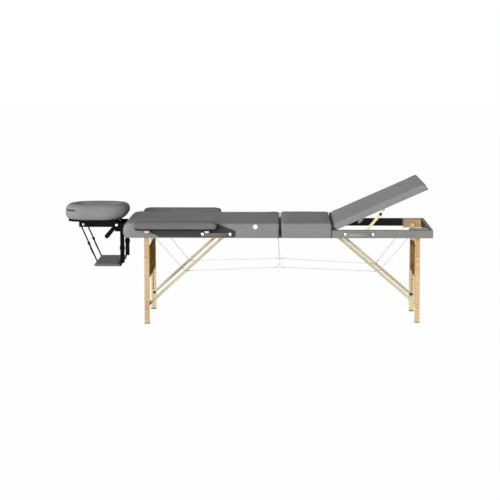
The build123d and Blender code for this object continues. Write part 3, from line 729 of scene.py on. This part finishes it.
def softened_end(made, low, high, corner, over, under, side):
    """Rounds the upper and lower edge of the head end, and eases the rest of the rim.

    Near the upper edge a point moves from the square corner of the section on to its
    circle; near the lower edge it moves in as far as the circle does at its height.
    """
    middle_y = (low.y + high.y) / 2
    half = (high.y - low.y) / 2
    for vert in made.data.vertices:
        place = vert.co
        across = place.y - middle_y
        beyond = Vector((place.x - low.x - corner, abs(across) - half + corner))
        if beyond.x < 0 < beyond.y:
            beyond.x = -beyond.x
            inset = corner - beyond.length
            outward = Vector((-beyond.x, beyond.y)).normalized()
        elif place.x - low.x < half - abs(across):
            inset = place.x - low.x
            outward = Vector((-1, 0))
        else:
            inset = half - abs(across)
            outward = Vector((0, 1))
        if across < 0:
            outward.y = -outward.y
        inset = max(0, inset)
        head_share = max(0, -outward.x) ** 2
        radius = side + (over - side) * head_share
        out = 1 - inset / radius
        up = 1 - max(0, high.z - place.z) / radius
        if out > 0 and up > 0:
            share = 1 - max(out, up) / (out * out + up * up) ** 0.5
            vert.co.x -= outward.x * share * out * radius
            vert.co.y -= outward.y * share * out * radius
            vert.co.z -= share * up * radius
        radius = under * head_share
        rise = max(0, place.z - frame_low_z)
        if rise < radius:
            curl = radius * (1 - (1 - (1 - rise / radius) ** 2) ** 0.5)
            curl = min(curl, radius * 0.62) * max(0, 1 - inset / (2 * under))
            vert.co.x -= outward.x * curl
            vert.co.y -= outward.y * curl


def table_cover(name, low_x, high_x, top_z, head_radius, full_skirt_at_head):
    """A padded top whose vinyl runs down over the frame, open underneath."""
    low = Vector((low_x, near_y - cover_proud, frame_low_z - cover_spare))
    high = Vector((high_x, far_y + cover_proud, top_z - crown))
    top_edge = 0 if full_skirt_at_head else 0.006
    made = stuffed_block(name, low, high, head_radius, fold_corner, top_edge, 0)
    to_fill(made, 0.008, crown, held=lambda point: point.z < board_top_z)
    if full_skirt_at_head:
        softened_end(made, low, high, head_radius, head_over, head_under, 0.008)

    def against_frame(middle, normal):
        under = middle.z < frame_low_z
        below_board = middle.z < board_top_z
        at_fold = middle.x > high.x - 0.004 and normal.x > 0.5
        at_head = middle.x < low.x + 0.004 and normal.x < -0.5 and not full_skirt_at_head
        return under or (below_board and (at_fold or at_head))

    return made, against_frame


left_cover, left_against = table_cover(
    "cover_left", left_low.x - cover_proud, left_high.x, left_high.z, head_corner, True
)
middle_cover, middle_against = table_cover(
    "cover_middle", middle_low.x, middle_high.x, middle_high.z, fold_corner, False
)

# ---- backrest pad, made flat and then lifted ----
joint_at = {j["name"]: Vector(j["pos_m"]) for j in frame["joints"] if "pos_m" in j}
back_hinge = joint_at["backrest_tilt"]
back_rise = radians(24)
back_length = 0.6
back_under = 0.0004
back_top = 0.0457
back_lift = Matrix.Translation(back_hinge) @ Matrix.Rotation(-back_rise, 4, "Y")
back_cover = stuffed_block(
    "cover_backrest",
    Vector((0, near_y - cover_proud, back_under - cover_spare)),
    Vector((back_length + 0.0015, far_y + cover_proud, back_top - crown)),
    0.002, 0.002, 0.006, 0,
)
to_fill(back_cover, 0.008, crown, held=lambda point: point.z < 0.006)

# ---- armrest, face and shelf pads ----
for side in ("near", "far"):
    rest_low, rest_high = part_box(f"armrest_pad_{side}")
    inset = Vector((0.003, 0.003, 0))
    pad = stuffed_block(
        f"armrest_cover_{side}", rest_low + inset, rest_high - inset - Vector((0, 0, crown)),
        0.018, 0.018, 0.015, 0.01,
    )
    to_fill(pad, 0.005, 0.005, held=lambda point, base=rest_low.z: point.z < base + 0.001)


def own_copy(node, name):
    """A merged copy of a plain solid, to start a pad from."""
    form = bmesh.new()
    form.from_mesh(frame["nodes"][node].data)
    bmesh.ops.remove_doubles(form, verts=form.verts, dist=0.00005)
    mesh = bpy.data.meshes.new(name)
    form.to_mesh(mesh)
    form.free()
    return linked(name, mesh, vinyl_grey)


face_low, face_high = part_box("face_cushion")
face_cover = own_copy("face_cushion", "face_pad")
to_fill(face_cover, 0.005, 0.005, held=lambda point: point.z < face_low.z + 0.002)
face_rise = 0.008
for vert in face_cover.data.vertices:
    vert.co.z += face_rise * max(0, vert.co.z - face_low.z) / (face_high.z - face_low.z)
shelf_low, shelf_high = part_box("arm_shelf")
shelf_cover = own_copy("arm_shelf", "shelf_pad")
to_fill(shelf_cover, 0.004, 0.002, held=lambda point: point.z < shelf_low.z + 0.004)

fill_all()

for made, against, body, nodes in (
    (left_cover, left_against, "left_half", ("cushion_left", "side_band_left")),
    (middle_cover, middle_against, "right_half", ("cushion_middle",)),
):
    evened(made, 2)
    opened(made, against, frame_low_z - 0.0003)
    wall = made.modifiers.new("vinyl", "SOLIDIFY")
    wall.thickness = cover_thick
    wall.offset = -1
    covered(made, body, *nodes)
evened(back_cover, 2)
opened(back_cover, lambda middle, normal: middle.z < back_under, back_under)
back_cover.data.transform(back_lift)
back_wall = back_cover.modifiers.new("vinyl", "SOLIDIFY")
back_wall.thickness = cover_thick
back_wall.offset = -1
covered(back_cover, "backrest", "cushion_backrest")
for side in ("near", "far"):
    pad = bpy.data.objects[f"armrest_cover_{side}"]
    evened(pad, 3)
    covered(pad, f"armrest_{side}", f"armrest_pad_{side}", finish=vinyl_pad)
evened(face_cover, 6)
# painted light: the face pad takes the lighter copy of the grey vinyl
covered(face_cover, "cradle_head", "face_cushion", finish=vinyl_face_painted_light)
face_smooth = face_cover.modifiers.new("skin", "SUBSURF")
face_smooth.levels = face_smooth.render_levels = 1
evened(shelf_cover, 2)
covered(shelf_cover, "cradle_arm", "arm_shelf", finish=vinyl_shelf)

# ---- dark strips in the folds: black vinyl that also paints the shade in the gaps ----
# black vinyl fold flap that also paints the shade in the gap between the halves
fold_flap = bmesh.new()
add_box(fold_flap, (left_high.x + 0.0002, near_y + 0.004, frame_low_z + 0.002),
        (middle_low.x - 0.0004, far_y - 0.004, middle_high.z - 0.012), 0.001)
fitted(shape("fold_flap_and_shade", fold_flap, vinyl_binding), "left_half")
web = bmesh.new()
web_end = back_lift @ Vector((0.006, 0, back_top * 0.8))
corners = (
    (middle_high.x + 0.0008, board_top_z + 0.0006),
    (middle_high.x + 0.0095, board_top_z + 0.0006),
    (web_end.x - 0.0012, web_end.z),
    (middle_high.x + 0.0008, web_end.z + 0.001),
)
web_inset = 0.006
web_face = web.faces.new([web.verts.new((x, near_y + web_inset, z)) for x, z in corners])
web_run = bmesh.ops.extrude_face_region(web, geom=[web_face], use_keep_orig=True)["geom"]
bmesh.ops.translate(web, vec=(0, far_y - near_y - 2 * web_inset, 0),
                    verts=[g for g in web_run if isinstance(g, bmesh.types.BMVert)])
bmesh.ops.subdivide_edges(web, edges=web.edges, cuts=5, use_grid_fill=True)
# dark vinyl web that also paints the shade in the fold under the lifted backrest
web_made = shape("backrest_web", web, vinyl_dark_and_shade)
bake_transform(web_made)

# ---- badge, left bare ----
badge_x = fold_x - 0.147
badge_z = 0.597
badge_radius = 0.0145
badge = bmesh.new()
add_rod(badge, (badge_x, near_y, badge_z), (badge_x, near_y - 0.005, badge_z), badge_radius,
        segments=48, edge=0.0012)
add_rod(badge, (badge_x, near_y - 0.004, badge_z), (badge_x, near_y - 0.0056, badge_z),
        badge_radius * 0.82, segments=48, edge=0.0006)
fitted(shape("side_badge", badge, white_plastic), "left_half")

# ---- carrying handles: domed bolts and stitched grip edges ----
for side, body in (("left", "left_half"), ("right", "right_half")):
    low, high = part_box(f"handle_{side}")
    bolt_z = (low.z + high.z) / 2
    cap_face = high.y - 0.007
    bolts = bmesh.new()
    for x in (low.x + 0.009, high.x - 0.009):
        add_rod(bolts, (x, cap_face + 0.001, bolt_z), (x, cap_face - 0.0012, bolt_z), 0.0088,
                segments=32, edge=0.0004)
        add_dome(bolts, (x, cap_face - 0.001, bolt_z), (0, -1, 0), 0.0072, 0.0034)
    fitted(shape(f"handle_bolts_{side}", bolts, chrome), body)
    middle_x = (low.x + high.x) / 2
    reach = high.y - low.y
    half = (high.x - low.x) / 2 - 0.024
    bow = [(middle_x + half * t, high.y - reach * (1 - t * t) + 0.004, bolt_z)
           for t in (-0.8, -0.55, -0.3, 0, 0.3, 0.55, 0.8)]
    for shift in (-0.0085, 0.0085):
        seam = tube(f"handle_seam_{side}_{'low' if shift < 0 else 'high'}",
                    [(x, y, z + shift) for x, y, z in bow], 0.0016, vinyl_binding)
        fitted(seam, body)

# ---- armrest knobs ----
rest_knob_places = (0.07, 0.426)    # from the head end of the armrest's dowels
for side, sign in (("near", -1), ("far", 1)):
    low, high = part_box(f"armrest_support_{side}")
    knobs = bmesh.new()
    for along in rest_knob_places:
        post = (low.x + along, sign * 0.382)
        add_rod(knobs, (*post, 0.5665), (*post, 0.5795), 0.0155, segments=36, edge=0.003)
    fitted(shape(f"armrest_knobs_{side}", knobs, cream_plastic), f"armrest_{side}")

# ---- knobs on the backrest's stays ----
stay_foot = Vector((joint_at["stay_lower_swing"].x, 0, joint_at["stay_lower_swing"].z))
stay_head = Vector((joint_at["stay_upper_swing"].x, 0, joint_at["stay_upper_swing"].z))
stay_knob = stay_foot + (stay_head - stay_foot).normalized() * 0.15
stay_knob_face = 0.291
star = bmesh.new()
for sign in (-1, 1):
    hub = (stay_knob.x, sign * (stay_knob_face + 0.0002), stay_knob.z)
    face = (stay_knob.x, sign * (stay_knob_face + 0.0113), stay_knob.z)
    add_rod(star, hub, face, 0.0078, segments=30, edge=0.0012)
    for lobe in range(5):
        off = Matrix.Rotation(radians(72 * lobe + 18), 4, "Y") @ Vector((0.0062, 0, 0))
        add_rod(star, Vector(hub) + off, Vector(face) + off, 0.0035, segments=16, edge=0.001)
fitted(shape("stay_knobs", star, black_plastic), "lower_stay")

# ---- breathing eyelet in the backrest ----
eyelet_along = 0.47
eyelet_y = 0.07
eyelet = bmesh.new()
eyelet_place = Vector((eyelet_along, eyelet_y, back_top + 0.0006))
add_rod(eyelet, eyelet_place - Vector((0, 0, 0.004)), eyelet_place, 0.0125,
        segments=40, edge=0.0005)
add_rod(eyelet, eyelet_place, eyelet_place + Vector((0, 0, 0.0005)), 0.0095,
        segments=40, edge=0.0002)
eyelet_made = shape("backrest_eyelet", eyelet, vinyl_binding)
eyelet_made.data.transform(back_lift)
fitted(eyelet_made, "backrest")

# ---- face cradle ----
cradle_pivot = joint_at["cradle_tilt"]
frame_near, frame_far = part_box("cradle_frame")
bolts = bmesh.new()
for y, outward in ((frame_near.y, -1), (frame_far.y, 1)):
    place = (frame_near.x + 0.026, y, cradle_pivot.z - 0.001)
    add_rod(bolts, place, (place[0], y + outward * 0.0012, place[2]), 0.0072,
            segments=32, edge=0.0003)
    add_dome(bolts, (place[0], y + outward * 0.001, place[2]), (0, outward, 0), 0.0056, 0.003)
fitted(shape("cradle_frame_bolts", bolts, zinc), "cradle_head")

lever_low, lever_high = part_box("cam_lever")
lever_tip = cradle_pivot + Matrix.Rotation(radians(-229), 3, "Y") @ Vector((0.092, 0, 0))
paddle = bmesh.new()
for centre, radius in ((cradle_pivot, 0.0118), (lever_tip, 0.0138)):
    add_rod(paddle, (centre.x, lever_low.y, centre.z), (centre.x, lever_high.y, centre.z), radius,
            segments=32)
hull = bmesh.ops.convex_hull(paddle, input=paddle.verts)
inside = hull["geom_interior"] + hull["geom_unused"]
spare = [g for g in inside if isinstance(g, bmesh.types.BMVert)]
bmesh.ops.delete(paddle, geom=spare, context="VERTS")
bmesh.ops.dissolve_limit(paddle, angle_limit=radians(2), verts=paddle.verts, edges=paddle.edges)
rims = [e for e in paddle.edges if any(len(f.verts) > 4 for f in e.link_faces)]
bmesh.ops.bevel(
    paddle, geom=rims, offset=0.003, segments=3, profile=0.5, affect="EDGES", material=-1
)
lever_made = shape("cam_lever_paddle", paddle, black_plastic)
fitted(lever_made, "lever")
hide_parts("cam_lever")

# Dark inset strip along the head end of the face pad.
bpy.context.view_layer.update()
inset_points = []
for x in (-1.107, -1.102, -1.094, -1.084, -1.072, -1.06, -1.047):
    hit, place, normal, _ = face_cover.ray_cast(Vector((x, -0.4, 0.668)), Y_AXIS)
    if hit:
        inset_points.append(place + normal * 0.0004)
if len(inset_points) > 3:
    band = bmesh.new()
    add_strip(band, inset_points, (0, 0, 0.0125), 0.0016)
    fitted(shape("face_pad_inset", band, vinyl_binding), "cradle_head")

# ---- arm shelf: bound edge, straps and buckles ----
binding = bmesh.new()
bound_low = Vector((shelf_high.x - 0.0115, shelf_low.y + 0.012, shelf_low.z - 0.0006))
bound_high = Vector((shelf_high.x + 0.0008, shelf_high.y - 0.012, shelf_high.z + 0.0008))
add_box(binding, bound_low, bound_high, 0.003, 3)
fitted(shape("arm_shelf_binding", binding, vinyl_binding), "cradle_arm")

strap_low, strap_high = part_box("straps_front")
strap_wide = 0.0085
front_top = Vector((strap_low.x + 0.003, 0, strap_high.z - 0.001))
front_foot = Vector((strap_high.x - 0.003, 0, strap_low.z + 0.001))
strap_run = front_foot - front_top
strap_way = strap_run.normalized()
strap_across = strap_way.cross(Y_AXIS) * strap_wide
strap_face = 0.122
shift = {"near": -1, "far": 1}
straps = bmesh.new()
buckles = bmesh.new()
for side, sign in shift.items():
    out = Vector((0, sign * strap_face, 0))
    proud = Vector((0, sign * 0.003, 0))
    run = [front_top + out + strap_run * t / 10 for t in range(11)]
    add_strip(straps, run, strap_across, 0.0016)
    grip_place = front_top + out + strap_run * 0.54
    tail = [grip_place + proud * (1 + 0.5 * t / 7) + strap_way * 0.0125 * t
            + Vector((-0.0012, 0, 0)) * t * (7 - t) / 4 for t in range(8)]
    add_strip(straps, tail, strap_across * 0.75, 0.0014)
    for step in (-0.007, 0.007):
        spot = grip_place + strap_way * step
        add_rod(buckles, spot - strap_across * 0.72 + proud * 0.5,
                spot + strap_across * 0.72 + proud * 0.5, 0.002, segments=12, edge=0.0004)
    for edge_side in (-1, 1):
        middle = grip_place + strap_across * 0.7 * edge_side + proud * 0.5
        reach = strap_way * 0.0088
        add_rod(buckles, middle - reach, middle + reach, 0.002, segments=12, edge=0.0004)
front_straps = shape("front_straps", straps, strap_black)
front_buckles = shape("front_buckles", buckles, black_plastic)
for made, slot in ((front_straps, "webbing_black"), (front_buckles, "plastic_black")):
    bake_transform(made)
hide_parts("straps_front")

rear_low, rear_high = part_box("straps_rear")
rear_y = 0.17
bar_z = 0.556
rear_x = (rear_low.x + rear_high.x) / 2
rear_wide = Vector((rear_high.x - rear_low.x, 0, 0))
webbing = bmesh.new()
sliders = bmesh.new()
slider_wire = 0.0023
for sign in shift.values():
    for layer in (-0.0014, 0.0014):
        place = Vector((rear_x, sign * rear_y + layer, rear_low.z + 0.0006))
        rise = Vector((0, 0, bar_z - 0.006 - rear_low.z))
        add_strip(webbing, [place + rise * t / 8 for t in range(9)], rear_wide, 0.0013)
    centre_y = sign * rear_y
    add_rod(webbing, (rear_x, centre_y - 0.0125, bar_z), (rear_x, centre_y + 0.0125, bar_z),
            0.0111, segments=32, edge=0.0014)
    low_x, high_x = rear_low.x - 0.001, rear_high.x + 0.001
    slider_y = sign * (rear_y + 0.0028)
    for level in (0.438, 0.447, 0.456):
        add_rod(sliders, (low_x, slider_y, level), (high_x, slider_y, level), slider_wire,
                segments=12, edge=0.0004)
    for x in (low_x, high_x):
        add_rod(sliders, (x, slider_y, 0.4365), (x, slider_y, 0.4575), slider_wire,
                segments=12, edge=0.0004)
rear_straps = shape("rear_straps", webbing, strap_black)
fitted(rear_straps, "cradle_arm")
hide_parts("straps_rear")
fitted(shape("rear_sliders", sliders, black_plastic), "cradle_arm")

# ---- frame band of the foot half, and the eased end rail at the head ----
band_low, band_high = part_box("side_band_right")
band_in = 0.0006
turn_radius = 0.004
band_path = [Vector((middle_high.x, band_low.y + band_in, 0))]
for centre_y, first in (
    (band_low.y + band_in + turn_radius, -90), (band_high.y - band_in - turn_radius, 0)
):
    for step in range(5):
        angle = radians(first + 22.5 * step)
        band_path.append(Vector((band_high.x - band_in - turn_radius + turn_radius * cos(angle),
                                 centre_y + turn_radius * sin(angle), 0)))
band_path.append(Vector((middle_high.x, band_high.y - band_in, 0)))
band_tall = back_hinge.z - 0.001 - band_low.z
band_middle = Vector((0, 0, band_low.z + band_tall / 2))
skirt = bmesh.new()
add_strip(skirt, [p + band_middle for p in band_path], (0, 0, band_tall), 0.0012)
band_made = shape("frame_band_right", skirt, vinyl_band)
fitted(band_made, "right_half")
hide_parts("side_band_right")

eased = bmesh.new()
eased.from_mesh(frame["nodes"]["end_rail_head"].data)
bmesh.ops.remove_doubles(eased, verts=eased.verts, dist=0.00005)
rail_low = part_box("end_rail_head")[0]
cut = bmesh.ops.bisect_plane(
    eased, geom=eased.verts[:] + eased.edges[:] + eased.faces[:], dist=0.00001,
    plane_co=(rail_low.x, 0, rail_low.z + 0.028), plane_no=(-26, 0, -16), clear_outer=True,
)["geom_cut"]
bmesh.ops.contextual_create(eased, geom=[g for g in cut if isinstance(g, bmesh.types.BMEdge)])
# black paint on the eased end rail, partly painted shade on its inner face
eased_made = shape("end_rail_eased", eased, black_paint_and_shade)
fitted(eased_made, "left_half")
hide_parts("end_rail_head")

# ---- dark washers on the brace feet ----
brace_foot = {"left": (-0.5945, 0.236), "right": (1.0315, 0.174)}    # x and inner face
for half, (foot_x, inner_y) in brace_foot.items():
    washers = bmesh.new()
    spot = Vector((foot_x, 0, 0.11))
    for sign in shift.values():
        add_rod(washers, (spot.x, sign * inner_y, spot.z),
                (spot.x, sign * (inner_y - 0.00045), spot.z), 0.0082, segments=30, edge=0.0001)
    washers_made = shape(f"brace_washers_{half}", washers, black_plastic)
    fitted(washers_made, f"lower_brace_{half}")

# ---- rubber feet ----
for half in ("left", "right"):
    for side in ("near", "far"):
        low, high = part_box(f"leg_extension_{half}_{side}")
        foot = bmesh.new()
        margin = Vector((0.0005, 0.0005, 0))
        add_box(foot, low - margin - Vector((0, 0, 0)),
                Vector((high.x, high.y, low.z + 0.003)) + margin, 0.0004)
        made = shape(f"foot_cap_{half}_{side}", foot, rubber_black)
        fitted(made, f"extension_{half}_{side}")

# ---- steel ropes ----
rope_thick = 0.003
rope_lay = 0.022            # length of one turn of the strands
rope_strands = 6
ring_wire = 0.003
ring_outer = 0.018


def rope(name, body, start, end, sleeves=(True, True)):
    """A taut twisted steel rope with a crimped sleeve near its ends."""
    start, end = Vector(start), Vector(end)
    run = end - start
    form = bmesh.new()
    section = bmesh.ops.create_circle(
        form, cap_ends=True, segments=rope_strands * 4, radius=rope_thick / 2
    )["verts"]
    for number, vert in enumerate(section):
        vert.co *= 1 - 0.08 * abs(number % 4 - 2)
    face = section[0].link_faces[0]
    turn = run.to_track_quat("Z", "Y").to_matrix().to_4x4()
    bmesh.ops.transform(form, matrix=Matrix.Translation(start) @ turn, verts=form.verts)
    steps = max(8, int(run.length / 0.0028))
    bmesh.ops.spin(
        form, geom=[face], cent=start, axis=run.normalized(), dvec=run / steps,
        angle=2 * pi * run.length / rope_lay, steps=steps, use_merge=False, use_duplicate=False,
    )
    made = shape(name, form, rope_steel)
    crimps = bmesh.new()
    along = run.normalized()
    for spot, wanted, sense in ((start, sleeves[0], 1), (end, sleeves[1], -1)):
        if wanted:
            first = spot + along * sense * 0.006
            add_rod(crimps, first, first + along * sense * 0.014, 0.0029, segments=16, edge=0.0006)
    crimped = shape(f"{name}_sleeves", crimps, zinc)
    for piece in (made, crimped):
        fitted(piece, body)
        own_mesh(piece)
    return made


knee_left, knee_right = joint_at["brace_knee_left"], joint_at["brace_knee_right"]
apex_z = 0.335
apex_y = 0.1927
ring_y = {"left": 0.2237, "right": 0.1617}
anchors = {"left": (-0.5505, 0.286, 0.5305), "right": (0.9875, 0.224, 0.5305)}
rings = bmesh.new()
for half, body, knee in (("left", "left_half", knee_left), ("right", "right_half", knee_right)):
    for side, sign in shift.items():
        ring = Vector((knee.x, sign * ring_y[half], knee.z))
        anchor = Vector(anchors[half])
        anchor.y *= sign
        apex = Vector((fold_x, sign * apex_y, apex_z))
        up = (anchor - ring).normalized()
        inward = (apex - ring).normalized()
        clear = ring_outer / 2 + 0.0003
        rope(f"rope_leg_{half}_{side}", body, ring + up * (clear + 0.0015), anchor, (True, False))
        span_run = rope(f"rope_span_{half}_{side}", body, ring + inward * clear,
                        apex - inward * clear)
for side, sign in shift.items():
    apex = Vector((fold_x, sign * apex_y, apex_z))
    top = Vector((fold_x - 0.013, sign * apex_y, 0.5297))
    up = (top - apex).normalized()
    start = apex + up * (ring_outer / 2 + 0.0003)
    rope(f"rope_drop_{side}", "left_half", start, top, (True, False))
    profile = bmesh.ops.create_circle(
        rings, cap_ends=False, segments=12, radius=ring_wire / 2
    )["verts"]
    bmesh.ops.translate(rings, vec=(ring_outer / 2 - ring_wire / 2, 0, 0), verts=profile)
    place = Matrix.Translation(apex) @ Matrix.Rotation(pi / 2, 4, "X")
    edges = list({e for v in profile for e in v.link_edges})
    bmesh.ops.rotate(rings, verts=profile, cent=(0, 0, 0), matrix=Matrix.Rotation(pi / 2, 3, "X"))
    bmesh.ops.spin(rings, geom=profile + edges, cent=(0, 0, 0), axis=(0, 0, 1), angle=2 * pi,
                   steps=36, use_merge=True, use_duplicate=False)
    loose = [v for v in rings.verts if v.co.length < 0.03]
    bmesh.ops.transform(rings, matrix=place, verts=loose)
apex_rings = shape("rope_rings", rings, zinc)
fitted(apex_rings, "left_half")
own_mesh(apex_rings)
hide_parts("cables_left")
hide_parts("cables_right")
